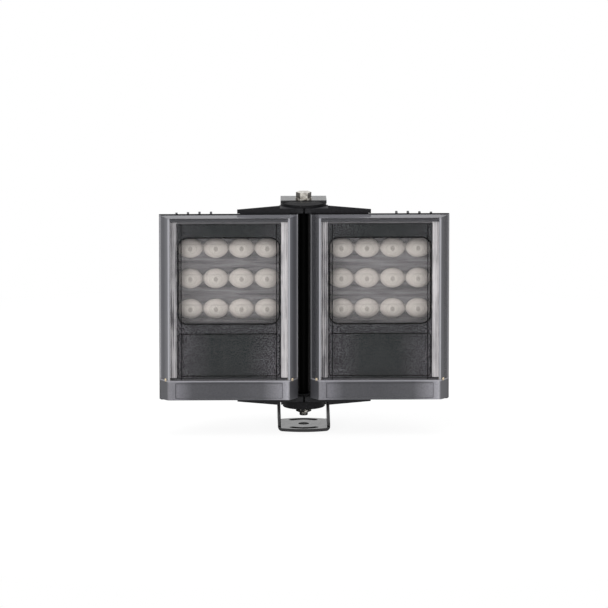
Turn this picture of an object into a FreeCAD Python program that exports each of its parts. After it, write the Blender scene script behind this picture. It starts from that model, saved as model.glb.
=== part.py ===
import FreeCAD, Part

import math
import os
from types import SimpleNamespace

import Sketcher
from FreeCAD import Placement, Rotation, Vector

# Twin-lamp infrared illuminator on a U bracket, in millimetres.
# X runs to the right, Y away from the lit front, Z up. The origin is the middle of the bracket's
# mounting face, and the upright hinge bolt stands on the Z axis.

SIZES = [
    ("bracket_sheet", 3.0, "thickness of the bracket's folded steel sheet"),
    ("sheet", 2.5, "thickness of the hinge frame's folded steel sheet"),
    ("sheet_bend", 4.0, "outer radius of a fold in either sheet"),
    ("lamp_height", 125.1, "middle of the lamps above the mounting face"),
    ("frame_width", 44.4, "width of the hinge frame"),
    ("tilt_play", 0.3, "side play at the tilt pivots"),
    ("base_depth", 52.0, "front to back of the bracket's base"),
    ("base_round", 58.0, "radius of the base's front and rear edges"),
    ("base_hole", 10.5, "hole for an M10 bolt"),
    ("slot_circle", 20.6, "radius of the two curved slots about the middle hole"),
    ("slot_width", 6.4, "curved slot for an M6 bolt"),
    ("slot_sweep", 64.0, "angle that a slot's middle line covers"),
    ("leg_front", 20.0, "front of a leg's foot ahead of the hinge axis"),
    ("leg_rear", 22.0, "rear of a leg's foot behind the hinge axis"),
    ("leg_toe", 7.0, "height of the foot at its front"),
    ("leg_knee", 24.0, "height where the front edge turns upright"),
    ("tilt_behind", 38.0, "tilt axis behind the hinge axis"),
    ("tilt_under", 80.0, "tilt axis below the middle of the lamps"),
    ("lobe", 11.0, "radius of the legs and ears round the tilt axis"),
    ("tilt_bolt", 6.0, "diameter of the tilt bolts"),
    ("tilt_head", 10.5, "diameter of a tilt bolt's head"),
    ("tilt_head_height", 3.3, "height of a tilt bolt's head"),
    ("tilt_washer", 1.2, "thickness of a tilt bolt's washer"),
    ("tilt_nut", 10.0, "tilt nut across its flats"),
    ("tilt_nut_height", 5.0, "height of a tilt nut"),
    ("running_fit", 0.05, "radial play of a turning part on its bolt"),
    ("frame_reach", 101.5, "outer face of a frame flange from the middle of the lamps"),
    ("flange_front", 8.0, "front edge of a flange ahead of the hinge axis"),
    ("spine_back", 20.0, "rear face of the frame behind the hinge axis"),
    ("ear_top", 62.0, "top of a frame ear below the middle of the lamps"),
    ("hinge_bolt", 8.0, "diameter of the hinge bolt"),
    ("hole_play", 0.3, "radial play of a plain hole round its bolt"),
    ("hex_flats", 13.0, "hinge bolt's head and nut across their flats"),
    ("head_height", 5.3, "height of the hinge bolt's head"),
    ("nut_height", 6.5, "height of the hinge nut"),
    ("bolt_tail", 3.9, "bolt end beyond its nut"),
    ("washer", 1.6, "thickness of the hinge washers"),
    ("washer_radius", 8.0, "outer radius of the hinge washers"),
    ("cap_lip", 1.8, "rise of the top cap's lip in front of the flange"),
    ("cap_slope", 5.0, "width of the slope round that lip"),
    ("cap_skirt", 4.8, "depth of the bottom cap's skirt in front of the flange"),
    ("cap_round", 1.2, "chamfer round that skirt"),
    ("sleeve_radius", 6.0, "outer radius of the tube round the bolt"),
    ("pivot_gap", 0.3, "slip washer between two turning faces"),
    ("pivot_washer", 10.0, "radius of the slip washers"),
    ("lamp_spacing", 146.8, "distance between the lamps' middles"),
    ("front_reach", 40.0, "lamp front ahead of the hinge axis"),
    ("cover_width", 134.5, "width of the cover at its rear rim"),
    ("cover_tall", 182.0, "height of the cover at its rear rim"),
    ("cover_depth", 13.4, "front face to rear rim"),
    ("side_bevel", 8.0, "inset of the front face at the sides"),
    ("end_bevel", 0.95, "inset of the front face at top and bottom"),
    ("cover_wall", 2.0, "thickness of the clear front"),
    ("rim_wall", 8.0, "thickness of the cover's rim at the gasket"),
    ("end_wall", 5.0, "top wall of the cover"),
    ("seam_under", 70.3, "seam of the lens tray below the middle of the lamp"),
    ("seam_gap", 0.4, "gap at that seam"),
    ("tray_recess_width", 103.0, "bare recess on the tray"),
    ("tray_recess_tall", 14.0, "height of that recess"),
    ("tray_recess_depth", 0.8, "depth of that recess"),
    ("tray_recess_slope", 1.0, "width of the slope round that recess"),
    ("gasket", 1.0, "thickness of the gaskets"),
    ("gasket_width", 7.0, "width of the cover gasket"),
    ("flange_lip", 0.3, "casting flange beyond the cover, each side"),
    ("flange_thick", 3.0, "thickness of the casting's flange"),
    ("body_inset", 8.1, "casting wall inside the flange's edge"),
    ("cavity_wall", 3.5, "casting wall round the lamp room"),
    ("cavity_depth", 5.6, "lamp room from the flange face to its floor"),
    ("plate_thick", 6.0, "heat-sink plate behind the lamp room"),
    ("fin_pitch", 11.2, "distance between fins"),
    ("fin_thick", 2.2, "thickness of a fin"),
    ("fin_depth", 20.0, "fins behind the heat-sink plate"),
    ("fin_step", 2.2, "how much lower each fin is towards the lamp's edge"),
    ("fin_chamfer", 6.0, "chamfer at the fin ends"),
    ("fin_under", 2.0, "fin ends inside the flange's top and bottom edges"),
    ("box_tall", 112.0, "height of the driver box"),
    ("box_depth", 26.0, "driver box behind the heat-sink plate"),
    ("box_wall", 3.0, "wall of the driver box"),
    ("box_end", 10.0, "solid ends of the driver box"),
    ("rear_cover", 3.0, "thickness of the driver box cover"),
    ("board", 1.6, "thickness of both circuit boards"),
    ("led_board_width", 104.0, "width of the LED board"),
    ("led_board_tall", 100.0, "height of the LED board"),
    ("window_above", 27.7, "middle of the window above the middle of the lamp"),
    ("window_width", 97.4, "width of the window"),
    ("window_tall", 84.5, "height of the window"),
    ("window_round", 9.0, "corner radius of the window"),
    ("led_pitch", 24.9, "distance between LED columns"),
    ("led_row", 30.0, "distance between LED rows"),
    ("led_size", 3.5, "side of an LED package"),
    ("led_height", 1.4, "height of an LED package"),
    ("optic_width", 24.3, "width of a lens over an LED"),
    ("optic_tall", 19.6, "height of that lens"),
    ("optic_depth", 6.0, "depth of that lens"),
    ("fascia_width", 101.0, "width of the black fascia"),
    ("fascia_top", 84.0, "top of the fascia above the middle of the lamp"),
    ("fascia_bottom", 68.2, "bottom of the fascia below the middle of the lamp"),
    ("fascia_thick", 2.6, "thickness of the fascia"),
    ("fascia_gap", 0.5, "fascia behind the clear front"),
    ("panel_width", 90.8, "recessed panel under the window"),
    ("panel_top", 25.0, "top of that panel below the middle of the lamp"),
    ("panel_depth", 0.9, "depth of that panel"),
    ("rail_width", 6.4, "pale rails beside the fascia"),
    ("rail_top", 1.2, "strip that joins those rails above the fascia"),
    ("insert_thick", 1.6, "thickness of the diffuser behind the fascia"),
    ("insert_margin", 1.5, "diffuser beyond the window, each side"),
    ("screw", 3.0, "diameter of the small screws"),
    ("screw_head", 5.4, "diameter of their heads"),
    ("screw_head_height", 2.0, "height of their heads"),
    ("screw_length", 7.5, "length of their shanks"),
    ("rim_screw_inset", 4.6, "cover screws inside the cover's rim"),
    ("tray_screw_back", 4.0, "tray screws behind the front face"),
    ("tray_screw_length", 6.0, "length of the tray screws"),
    ("arm_front", 21.5, "front face of the hinge arms ahead of the hinge axis"),
    ("arm_slit", 1.05, "half of the slit between left and right arms"),
    ("arm_reach", 65.0, "tip of an arm from the hinge axis"),
    ("arm_tip_depth", 2.5, "front to back of an arm's tip"),
    ("arm_rear", 3.0, "rear edge of an arm ahead of the hinge axis"),
    ("arm_shoulder", 46.0, "where an arm starts to narrow"),
    ("arm_step", 23.6, "where an arm steps up beside the hinge cap"),
    ("arm_crest", 7.7, "height of an arm's front edge at that step"),
    ("arm_fall", 4.0, "how much lower an arm is at its rear edge"),
    ("arm_tip_thick", 4.0, "thickness of an arm at its tip"),
    ("ear_thick", 2.3, "thickness of an arm's pivot ear"),
    ("ear_radius", 13.0, "radius of that ear"),
    ("ear_gap", 1.6, "gap round the other arm's ear"),
    ("arm_screw", 5.0, "diameter of the arm screws"),
    ("arm_screw_head", 9.2, "diameter of their heads"),
    ("arm_screw_sunk", 1.8, "their heads below the arm's outer face"),
    ("arm_screw_length", 8.6, "length of the arm screws"),
    ("arm_screw_first", 28.5, "first arm screw from the hinge axis"),
    ("arm_screw_pitch", 15.5, "distance between arm screws"),
    ("arm_screw_front", 12.0, "arm screws ahead of the hinge axis"),
    ("gland_hole", 16.0, "thread of the cable gland"),
    ("gland_flats", 19.0, "gland across its flats"),
    ("gland_hex", 5.0, "height of the gland's hexagon"),
    ("gland_cap", 14.0, "height of the gland's cap nut"),
    ("gland_above", 22.0, "gland above the lower end of the driver box"),
    ("cord_hole", 7.0, "bore of the gland"),
]


class Measure:
    """A size with its number now and the formula that keeps it bound to the sheet."""

    def __init__(self, number, formula):
        self.number = number
        self.formula = formula

    def joined(self, sign, other, number):
        return Measure(number, f"({self.formula} {sign} {other.formula})")

    def __add__(self, other):
        other = measure(other)
        return self.joined("+", other, self.number + other.number)

    def __sub__(self, other):
        other = measure(other)
        return self.joined("-", other, self.number - other.number)

    def __mul__(self, other):
        other = measure(other)
        return self.joined("*", other, self.number * other.number)

    def __truediv__(self, other):
        other = measure(other)
        return self.joined("/", other, self.number / other.number)

    def __neg__(self):
        return Measure(-self.number, f"(0 - {self.formula})")


def measure(thing):
    return thing if isinstance(thing, Measure) else Measure(float(thing), f"({float(thing)!r})")


def root(size):
    return Measure(math.sqrt(size.number), f"sqrt({size.formula})")


def cosine(angle):
    return Measure(math.cos(math.radians(angle.number)), f"cos({angle.formula})")


def sine(angle):
    return Measure(math.sin(math.radians(angle.number)), f"sin({angle.formula})")


doc = FreeCAD.newDocument("infrared_illuminator")
sheet = doc.addObject("Spreadsheet::Sheet", "Sizes")
for row, (alias, number, meaning) in enumerate(SIZES, start=1):
    sheet.set(f"A{row}", str(number))
    sheet.setAlias(f"A{row}", alias)
    sheet.set(f"B{row}", meaning)
doc.recompute()
S = SimpleNamespace(**{alias: Measure(number, f"Sizes.{alias}") for alias, number, _ in SIZES})
parts = []


# Sketching and solids

def new_part(label):
    body = doc.addObject("PartDesign::Body", label)
    body.Label = label
    parts.append(body)
    return body


def sketch_on(body, plane, place):
    """A sketch on the part's own plane, moved along that plane's axis to a place."""
    sketch = body.newObject("Sketcher::SketchObject", f"{body.Label}_sketch")
    origin = body.Origin.OriginFeatures
    sketch.AttachmentSupport = [(next(f for f in origin if f.Role == f"{plane}_Plane"), "")]
    sketch.MapMode = "FlatFace"
    offset = measure(place) * (-1 if plane == "XZ" else 1)
    sketch.AttachmentOffset = Placement(Vector(0, 0, offset.number), Rotation())
    sketch.setExpression("AttachmentOffset.Base.z", offset.formula)
    return sketch


def bind(sketch, *constraint, size):
    index = sketch.addConstraint(Sketcher.Constraint(*constraint, size.number))
    sketch.setExpression(f"Constraints[{index}]", size.formula)


def pin(sketch, item, point, u, v):
    bind(sketch, "DistanceX", -1, 1, item, point, size=measure(u))
    bind(sketch, "DistanceY", -1, 1, item, point, size=measure(v))


def circle(sketch, u, v, radius):
    u, v = measure(u), measure(v)
    middle = Vector(u.number, v.number, 0)
    item = sketch.addGeometry(Part.Circle(middle, Vector(0, 0, 1), radius.number))
    pin(sketch, item, 3, u, v)
    bind(sketch, "Radius", item, size=radius)


def arc_between(start, stop, radius, turn):
    """Arc from start to stop, turn +1 to the left and -1 to the right."""
    chord = stop - start
    rise = math.sqrt(max(radius ** 2 - (chord.Length / 2) ** 2, 0.0))
    left = Vector(-chord.y, chord.x, 0).normalize()
    middle = start + chord * 0.5 + left * rise * turn
    ends = (start, stop) if turn > 0 else (stop, start)
    angles = [math.atan2(end.y - middle.y, end.x - middle.x) for end in ends]
    if angles[1] < angles[0]:
        angles[1] += 2 * math.pi
    return Part.ArcOfCircle(Part.Circle(middle, Vector(0, 0, 1), radius), *angles)


def outline(sketch, corners):
    """Closed outline; a corner (u, v, radius, turn) leaves along an arc, (u, v) along a line."""
    corners = [(measure(c[0]), measure(c[1]), *c[2:]) for c in corners]
    spots = [Vector(c[0].number, c[1].number, 0) for c in corners]
    ends = []
    for index, corner in enumerate(corners):
        start, stop = spots[index], spots[(index + 1) % len(spots)]
        if len(corner) == 4:
            item = sketch.addGeometry(arc_between(start, stop, corner[2].number, corner[3]))
            bind(sketch, "Radius", item, size=corner[2])
            ends.append((item, 1, 2) if corner[3] > 0 else (item, 2, 1))
        else:
            item = sketch.addGeometry(Part.LineSegment(start, stop))
            ends.append((item, 1, 2))
        pin(sketch, item, ends[-1][1], corner[0], corner[1])
    for index, (item, _, last) in enumerate(ends):
        after, first, _ = ends[(index + 1) % len(ends)]
        sketch.addConstraint(Sketcher.Constraint("Coincident", item, last, after, first))


def rectangle(sketch, left, right, low, high, radius=None):
    if radius is None:
        outline(sketch, [(left, low), (right, low), (right, high), (left, high)])
        return
    left, right, low, high = measure(left), measure(right), measure(low), measure(high)
    outline(sketch, [
        (left + radius, low), (right - radius, low, radius, 1),
        (right, low + radius), (right, high - radius, radius, 1),
        (right - radius, high), (left + radius, high, radius, 1),
        (left, high - radius), (left, low + radius, radius, 1),
    ])


def hexagon(sketch, u, v, flats):
    """Regular hexagon with two flats square to the first axis' right angle."""
    reach = flats / math.sqrt(3)
    turns = [math.radians(60 * step) for step in range(6)]
    outline(sketch, [(reach * math.cos(a) + u, reach * math.sin(a) + v) for a in turns])


def finish(body, feature):
    body.Tip = feature
    doc.recompute()
    if "Invalid" in feature.State or "Error" in feature.State:
        raise RuntimeError(f"{body.Label}: {feature.Name} failed")


def solid(body, plane, start, stop, draw, *details):
    """Pad of a drawn outline between two places along the plane's axis."""
    sketch = sketch_on(body, plane, stop if plane == "XZ" else start)
    draw(sketch, *details)
    pad = body.newObject("PartDesign::Pad", f"{body.Label}_pad")
    pad.Profile = sketch
    pad.setExpression("Length", (measure(stop) - start).formula)
    finish(body, pad)


def cut(body, plane, start, stop, draw, *details, flipped=False):
    """Pocket of a drawn outline between two places, flipped to start from the other one."""
    before = body.Shape.Volume
    sketch = sketch_on(body, plane, start if (plane == "XZ") != flipped else stop)
    draw(sketch, *details)
    pocket = body.newObject("PartDesign::Pocket", f"{body.Label}_pocket")
    pocket.Profile = sketch
    pocket.Reversed = flipped
    pocket.setExpression("Length", (measure(stop) - start).formula)
    finish(body, pocket)
    if body.Shape.Volume > before - 1e-6:
        raise RuntimeError(f"{body.Label}: {pocket.Name} cuts nothing")


def loft(body, kind, rear, front, draw=rectangle):
    """Loft between two drawn outlines; each is its place along Y and what draw needs."""
    sketches = []
    for place, *details in (rear, front):
        sketch = sketch_on(body, "XZ", place)
        draw(sketch, *details)
        sketches.append(sketch)
    feature = body.newObject(f"PartDesign::{kind}Loft", f"{body.Label}_loft")
    feature.Profile = sketches[0]
    feature.Sections = [sketches[1]]
    feature.Ruled = True
    finish(body, feature)


def revolve(body, corners):
    """Revolution about the upright hinge axis; corners are (radius, height)."""
    sketch = sketch_on(body, "XZ", 0)
    outline(sketch, corners)
    turned = body.newObject("PartDesign::Revolution", f"{body.Label}_turned")
    turned.Profile = sketch
    turned.ReferenceAxis = (sketch, ["V_Axis"])
    turned.Angle = 360
    finish(body, turned)


def circles(sketch, spots, radius):
    for u, v in spots:
        circle(sketch, u, v, radius)


def hexagons(sketch, spots, flats):
    for u, v in spots:
        hexagon(sketch, u, v, flats)


def rings(sketch, spots, outer, inner):
    circles(sketch, spots, outer)
    circles(sketch, spots, inner)


# Heights and depths that several parts share

middle = S.lamp_height
tilt_height = middle - S.tilt_under
half_frame = S.frame_width / 2
leg_inside = half_frame + S.tilt_play
leg_outside = leg_inside + S.bracket_sheet
arm_inner = S.cover_tall / 2 + S.flange_lip
arm_outer = arm_inner + S.ear_thick * 2 + S.pivot_gap
cap_inner = arm_outer + S.pivot_gap
bolt_radius = S.hinge_bolt / 2
tilt_radius = S.tilt_bolt / 2
screw_radius = S.screw / 2

front = -S.front_reach
rim = front + S.cover_depth
flange_face = rim + S.gasket
flange_rear = flange_face + S.flange_thick
room_floor = flange_face + S.cavity_depth
plate_rear = room_floor + S.plate_thick
box_rear = plate_rear + S.box_depth
fascia_front = front + S.cover_wall + S.fascia_gap
fascia_rear = fascia_front + S.fascia_thick
board_front = room_floor - S.board
window_middle = middle + S.window_above
seam = middle - S.seam_under
screw_tip = flange_rear - S.screw_length
tray_screw_spot = (front + S.tray_screw_back, seam - S.seam_gap / 2)


# Mounting bracket

def leg_outline(sketch):
    """Side view of the bracket: its base, and a leg that leans back to the tilt axis."""
    half = S.base_depth / 2
    foot = S.bracket_sheet + S.sheet_bend / 2
    behind, top = S.tilt_behind, tilt_height + S.lobe
    outline(sketch, [
        (-half, -1), (half, -1), (half, S.bracket_sheet), (S.leg_rear, foot),
        (behind + S.lobe, tilt_height - S.lobe), (behind + S.lobe, tilt_height, S.lobe, 1),
        (behind, top, S.lobe, 1), (behind - S.lobe, tilt_height),
        (behind - S.lobe, S.leg_knee), (-S.leg_front, S.leg_toe), (-S.leg_front, foot),
        (-half, S.bracket_sheet),
    ])


def side_blank(sketch):
    """Everything round the side view that is cut away."""
    far = S.tilt_behind + S.lobe * 3
    outline(sketch, [
        (-far, -S.lobe), (far, -S.lobe), (far, middle), (-far, middle),
    ])
    leg_outline(sketch)


def channel(sketch):
    """Cross-section of the folded U, open at the top."""
    high = tilt_height + S.lobe + 1
    inner = S.sheet_bend - S.bracket_sheet
    outline(sketch, [
        (-leg_outside + S.sheet_bend, 0), (leg_outside - S.sheet_bend, 0, S.sheet_bend, 1),
        (leg_outside, S.sheet_bend), (leg_outside, high), (leg_inside, high),
        (leg_inside, S.sheet_bend, inner, -1), (leg_inside - inner, S.bracket_sheet),
        (-leg_inside + inner, S.bracket_sheet, inner, -1), (-leg_inside, S.sheet_bend),
        (-leg_inside, high), (-leg_outside, high), (-leg_outside, S.sheet_bend, S.sheet_bend, 1),
    ])


def curved_slot(sketch, side):
    """Slot along an arc about the middle hole, in front (-1) or behind (+1)."""
    half, width, way = S.slot_sweep / 2, S.slot_width / 2, S.slot_circle
    across, along = sine(half), cosine(half)
    near, far = way - width, way + width
    tip_u, tip_v = way * across + width * along, (way * along - width * across) * side
    outline(sketch, [
        (-(far * across), far * along * side, far, -side), (far * across, far * along * side,
                                                            width, -side),
        (tip_u, tip_v, width, -side), (near * across, near * along * side, near, side),
        (-(near * across), near * along * side, width, -side), (-tip_u, tip_v, width, -side),
    ])


def base_edge(sketch, side):
    """Waste beyond the base's rounded front (-1) or rear (+1) edge."""
    half, wide = S.base_depth / 2, leg_outside + 1
    sag = S.base_round - root(S.base_round * S.base_round - wide * wide)
    outline(sketch, [
        (-wide, (half - sag) * side), (-wide, (half + 1) * side), (wide, (half + 1) * side),
        (wide, (half - sag) * side, S.base_round, side),
    ])


def u_bracket():
    body = new_part("u_bracket")
    reach = S.tilt_behind + S.lobe + 1
    solid(body, "XZ", -reach, reach, channel)
    cut(body, "YZ", -leg_outside - 1, leg_outside + 1, side_blank)
    cut(body, "XY", -1, S.bracket_sheet + 1, circle, 0, 0, S.base_hole / 2)
    for side in (-1, 1):
        cut(body, "XY", -1, S.bracket_sheet + 1, curved_slot, side)
        cut(body, "XY", -1, S.bracket_sheet + 1, base_edge, side)
    hole = [(S.tilt_behind, tilt_height)]
    cut(body, "YZ", -leg_outside - 1, leg_outside + 1, circles, hole, tilt_radius + S.running_fit)


def tilt_fasteners():
    """Two bolts through the legs, each with a washer outside and a nut inside the frame's ear."""
    spot = [(S.tilt_behind, tilt_height)]
    bolts, washers, nuts = (new_part(f"tilt_{name}") for name in ("bolts", "washers", "nuts"))
    head = leg_outside + S.tilt_washer
    nut = half_frame - S.sheet - S.tilt_play
    tail = nut - S.tilt_nut_height
    for side in (1, -1):
        for body, inner, outer, draw, *sizes in (
            (bolts, tail - 1, head, circles, tilt_radius),
            (bolts, head, head + S.tilt_head_height, circles, S.tilt_head / 2),
            (washers, leg_outside, head, rings, S.tilt_head / 2 + 1, tilt_radius + S.running_fit),
            (nuts, tail, nut, hexagon_ring, S.tilt_nut, tilt_radius + S.running_fit),
        ):
            ends = (inner, outer) if side > 0 else (-outer, -inner)
            solid(body, "YZ", *ends, draw, spot, *sizes)
        face = head + S.tilt_head_height
        floor = face - S.tilt_head_height / 2
        ends = (floor, face) if side > 0 else (-face, -floor)
        cut(bolts, "YZ", *ends, hexagons, spot, S.tilt_bolt * 2 / 3, flipped=side < 0)


def hexagon_ring(sketch, spots, flats, bore):
    hexagons(sketch, spots, flats)
    circles(sketch, spots, bore)


# Hinge frame and what the hinge bolt holds

def frame_section(sketch):
    """Side view of the folded frame: upright back with a flange forward at each end."""
    low, high = middle - S.frame_reach, middle + S.frame_reach
    back, inner = S.spine_back, S.sheet_bend - S.sheet
    outline(sketch, [
        (-S.flange_front, low), (back - S.sheet_bend, low, S.sheet_bend, 1),
        (back, low + S.sheet_bend), (back, high - S.sheet_bend, S.sheet_bend, 1),
        (back - S.sheet_bend, high), (-S.flange_front, high), (-S.flange_front, high - S.sheet),
        (back - S.sheet_bend, high - S.sheet, inner, -1), (back - S.sheet, high - S.sheet_bend),
        (back - S.sheet, low + S.sheet_bend, inner, -1), (back - S.sheet_bend, low + S.sheet),
        (-S.flange_front, low + S.sheet),
    ])


def frame_ear(sketch):
    """Side view of a frame ear, rounded about the tilt axis."""
    behind, root_y = S.tilt_behind, S.spine_back - S.sheet
    outline(sketch, [
        (root_y, tilt_height - S.lobe), (behind, tilt_height - S.lobe, S.lobe, 1),
        (behind + S.lobe, tilt_height, S.lobe, 1), (behind, tilt_height + S.lobe),
        (root_y, middle - S.ear_top),
    ])


def hinge_frame():
    body = new_part("hinge_frame")
    solid(body, "YZ", -half_frame, half_frame, frame_section)
    for side in (1, -1):
        ends = (half_frame - S.sheet, half_frame) if side > 0 else (-half_frame,
                                                                   -half_frame + S.sheet)
        solid(body, "YZ", *ends, frame_ear)
    whole = S.frame_reach + 1
    cut(body, "XY", middle - whole, middle + whole, circle, 0, 0, bolt_radius + S.hole_play)
    hole = [(S.tilt_behind, tilt_height)]
    cut(body, "YZ", -half_frame - 1, half_frame + 1, circles, hole, tilt_radius + S.running_fit)


def mirrored_heights(side, low, high):
    """Heights measured from the lamps' middle, above (+1) or below (-1) it."""
    return (middle + low, middle + high) if side > 0 else (middle - high, middle - low)


def hinge_cap(label, side):
    """Round cap between the arms and a frame flange. In front of the flange the top one has a
    sloped lip, and the bottom one a deeper skirt."""
    body = new_part(label)
    bore, rim_radius = bolt_radius + S.hole_play, half_frame
    plate = S.frame_reach - S.sheet
    if side > 0:
        face, edge, slope = plate + S.cap_lip, plate, S.cap_slope
    else:
        face, slope = plate + S.cap_skirt, S.cap_round
        edge = face - S.cap_round
    inner, edge, top = (middle + level * side for level in (cap_inner, edge, face))
    revolve(body, [(bore, inner), (rim_radius, inner), (rim_radius, edge),
                   (rim_radius - slope, top), (bore, top)])
    wide, far = rim_radius + 1, rim_radius + 2
    cut(body, "XY", *mirrored_heights(side, plate, face + 1), rectangle,
        -wide, wide, -S.flange_front - S.hole_play, far)
    cut(body, "XY", *mirrored_heights(side, cap_inner - 1, plate + 1), rectangle,
        -wide, wide, S.spine_back - S.sheet_bend, far)


def hinge_bolt_set():
    bolt = new_part("hinge_bolt")
    top = middle + S.frame_reach + S.washer
    nut_top = middle - S.frame_reach - S.washer
    end = nut_top - S.nut_height - S.bolt_tail
    revolve(bolt, [(0, end), (bolt_radius - 1, end), (bolt_radius, end + 1), (bolt_radius, top),
                   (0, top)])
    solid(bolt, "XY", top, top + S.head_height, hexagon, 0, 0, S.hex_flats)
    nut = new_part("hinge_nut")
    solid(nut, "XY", nut_top - S.nut_height, nut_top, hexagon_ring, [(0, 0)], S.hex_flats,
          bolt_radius)
    washers = new_part("hinge_washers")
    for side in (1, -1):
        ends = mirrored_heights(side, S.frame_reach, S.frame_reach + S.washer)
        solid(washers, "XY", *ends, rings, [(0, 0)], S.washer_radius, bolt_radius + S.hole_play)
    sleeve = new_part("hinge_sleeve")
    reach = arm_inner - S.pivot_gap
    solid(sleeve, "XY", middle - reach, middle + reach, rings, [(0, 0)], S.sleeve_radius,
          bolt_radius + S.hole_play)
    slips = new_part("pivot_washers")
    between = arm_inner + S.ear_thick
    for side in (1, -1):
        for level in (between, arm_outer):
            ends = mirrored_heights(side, level, level + S.pivot_gap)
            solid(slips, "XY", *ends, rings, [(0, 0)], S.pivot_washer, bolt_radius + S.hole_play)


# One lamp; side is -1 for the left one and +1 for the right one

def lamp_middle(side):
    return S.lamp_spacing / 2 * side


def front_edges(side, depth, low, high):
    """Left, right, low and high edges of the bevelled front, a given depth behind its face."""
    inset = S.side_bevel * (measure(1) - measure(depth) / S.cover_depth)
    half = S.cover_width / 2 - inset
    middle_x = lamp_middle(side)
    return (middle_x - half, middle_x + half, low, high)


def front_cover(name, side):
    """Smoky clear hood with wide side bevels, hollow from behind, above the tray's seam."""
    body = new_part(f"{name}_front_cover")
    top = middle + S.cover_tall / 2
    loft(body, "Additive", (rim, *front_edges(side, S.cover_depth, seam, top)),
         (front, *front_edges(side, 0, seam, top - S.end_bevel)))
    inner_top = top - S.end_wall
    half = S.cover_width / 2 - S.rim_wall
    x = lamp_middle(side)
    face = S.cover_width / 2 - S.side_bevel - S.cover_wall / 2
    loft(body, "Subtractive", (rim, x - half, x + half, seam + S.cover_wall, inner_top),
         (front + S.cover_wall, x - face, x + face, seam + S.cover_wall, inner_top))
    holes = [(u, v) for u, v in cover_screw_spots(side) if v.number > seam.number]
    cut(body, "XZ", screw_tip, rim + 1, circles, holes, screw_radius)
    tray_screw_holes(body, side)


def tray_screw_holes(body, side):
    x, out = lamp_middle(side), S.cover_width / 2
    cut(body, "YZ", x - out, x + out, circles, [tray_screw_spot], screw_radius)


def cover_screw_spots(side):
    """Screws through the flange into the rims of cover and tray."""
    x, out = lamp_middle(side), S.cover_width / 2 - S.rim_screw_inset
    up = S.cover_tall / 2 - S.rim_screw_inset
    lower = S.seam_under - S.rim_wall
    spots = [(x + out * turn, middle + height) for turn in (-1, 1)
             for height in (up, measure(0), -lower)]
    return spots + [(x + out * turn, middle - up) for turn in (-1, 1)]


def lens_tray(name, side):
    """Bottom strip that closes the hood, with a bare recess on its face."""
    body = new_part(f"{name}_lens_tray")
    low, high = middle - S.cover_tall / 2, seam - S.seam_gap
    x = lamp_middle(side)
    loft(body, "Additive", (rim, *front_edges(side, S.cover_depth, low, high)),
         (front, *front_edges(side, 0, low + S.end_bevel, high)))
    hollow = S.cover_width / 2 - S.rim_wall * 1.5
    cut(body, "XZ", front + S.rim_wall, rim + 1, rectangle, x - hollow, x + hollow,
        low + S.rim_wall, high - S.cover_wall)
    recess, centre = S.tray_recess_width / 2, (low + high) / 2
    tall, slope = S.tray_recess_tall / 2, S.tray_recess_slope
    loft(body, "Subtractive",
         (front + S.tray_recess_depth, x - recess, x + recess, centre - tall, centre + tall),
         (front, x - recess - slope, x + recess + slope, centre - tall - slope,
          centre + tall + slope))
    holes = [(u, v) for u, v in cover_screw_spots(side) if v.number < seam.number]
    cut(body, "XZ", screw_tip, rim + 1, circles, holes, screw_radius)
    tray_screw_holes(body, side)


def cover_gasket(name, side):
    body = new_part(f"{name}_cover_gasket")
    x = lamp_middle(side)
    wide, tall = S.cover_width / 2 - S.gasket / 2, S.cover_tall / 2 - S.gasket / 2
    solid(body, "XZ", rim, flange_face, rectangle, x - wide, x + wide, middle - tall,
          middle + tall)
    inner, high = wide - S.gasket_width, tall - S.gasket_width
    cut(body, "XZ", rim - 1, flange_face + 1, rectangle, x - inner, x + inner, middle - high,
        middle + high)
    cut(body, "XZ", rim - 1, flange_face + 1, circles, cover_screw_spots(side), screw_radius)


def fin_places():
    """Each fin from the lamp's middle, and how much shorter it is than the deepest ones."""
    return [(S.fin_pitch * (step + 0.5) * turn, S.fin_step * max(step - 2, 0))
            for turn in (-1, 1) for step in range(1, 5)]


def fin_outline(sketch, rear):
    reach, shoulder = arm_inner - S.fin_under, rear - S.fin_chamfer
    low, high = middle - reach, middle + reach
    outline(sketch, [
        (flange_face + 1, low), (shoulder, low), (rear, low + S.fin_chamfer),
        (rear, high - S.fin_chamfer), (shoulder, high), (flange_face + 1, high),
    ])


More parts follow.
